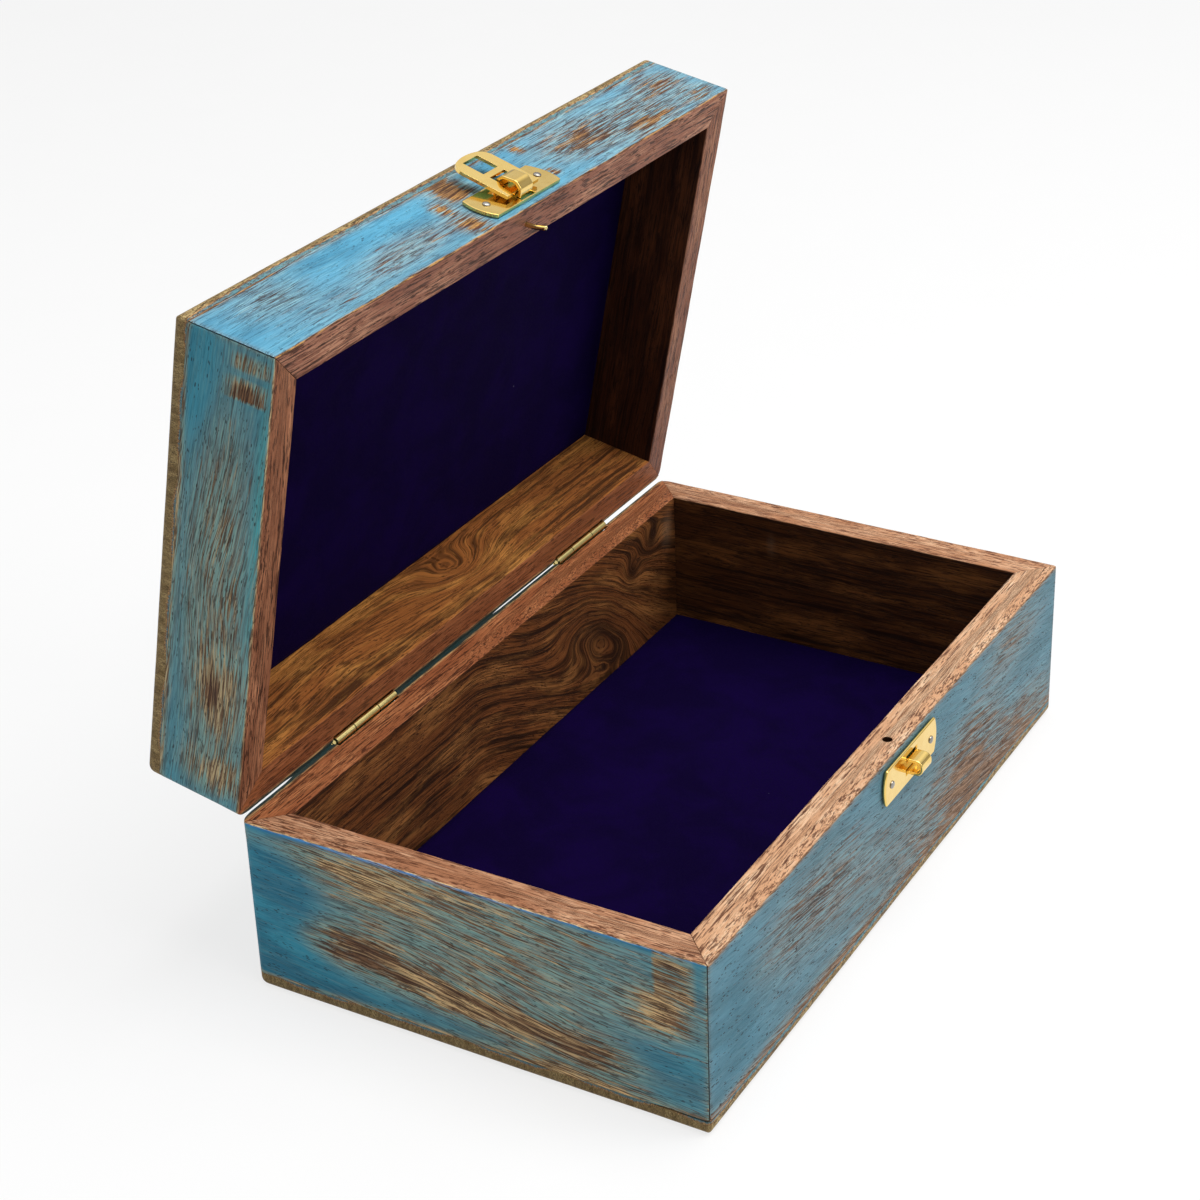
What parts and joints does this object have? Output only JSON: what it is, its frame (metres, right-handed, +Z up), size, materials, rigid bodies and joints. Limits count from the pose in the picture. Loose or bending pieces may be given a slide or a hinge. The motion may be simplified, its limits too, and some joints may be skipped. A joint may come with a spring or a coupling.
{
  "type": "hinged wooden keepsake box",
  "caption": "Small painted wooden chest with a hinged lid, mitred walls, velvet linings, brass butt hinges and a drop-over hasp latch with a strip loop.",
  "frame": {"origin": "middle of the base's underside", "axes": "+X to the right along the chest's length, +Y from the latch side to the hinge side, +Z up; stored with the lid standing open 78.7 degrees and the hasp flipped up"},
  "size_m": [0.203, 0.1533, 0.1747],
  "materials": {
    "painted_wood": "worn turquoise milk paint over brown hardwood, bare on the rims and inside",
    "card": "plain backing board",
    "velvet": "short-pile navy velvet",
    "brass": "polished light brass sheet",
    "steel": "plain domed nail heads"
  },
  "bodies": {
    "base": {"base_front_wall": "painted_wood", "base_back_wall": "painted_wood", "base_left_wall": "painted_wood", "base_right_wall": "painted_wood", "base_bottom_board": "painted_wood", "base_lining_card": "card", "base_velvet": "velvet", "left_hinge_base_leaf": "brass", "left_hinge_pin": "brass", "left_hinge_base_screw_left": "brass", "left_hinge_base_screw_right": "brass", "right_hinge_base_leaf": "brass", "right_hinge_pin": "brass", "right_hinge_base_screw_left": "brass", "right_hinge_base_screw_right": "brass", "catch_plate": "brass", "catch_loop": "brass", "catch_nail_left": "steel", "catch_nail_right": "steel"},
    "lid": {"lid_front_wall": "painted_wood", "lid_back_wall": "painted_wood", "lid_left_wall": "painted_wood", "lid_right_wall": "painted_wood", "lid_top_board": "painted_wood", "lid_lining_card": "card", "lid_velvet": "velvet", "left_hinge_lid_leaf": "brass", "left_hinge_lid_screw_left": "brass", "left_hinge_lid_screw_right": "brass", "right_hinge_lid_leaf": "brass", "right_hinge_lid_screw_left": "brass", "right_hinge_lid_screw_right": "brass", "lid_latch_plate": "brass", "lid_latch_loop": "brass", "lid_latch_nail_left": "steel", "lid_latch_nail_right": "steel", "locating_pin": "brass"},
    "hasp": {"latch_hasp": "brass"}
  },
  "joints": [
    {"name": "lid_hinge", "type": "hinge", "parent": "base", "child": "lid", "pos_m": [0, 0.0615, 0.0458], "axis": [-1, 0, 0], "range_deg": [-78.7, 46]},
    {"name": "hasp_swing", "type": "hinge", "parent": "lid", "child": "hasp", "pos_m": [0.002, 0.04184, 0.16919], "axis": [-1, 0, 0], "range_deg": [-173, 12]}
  ]
}
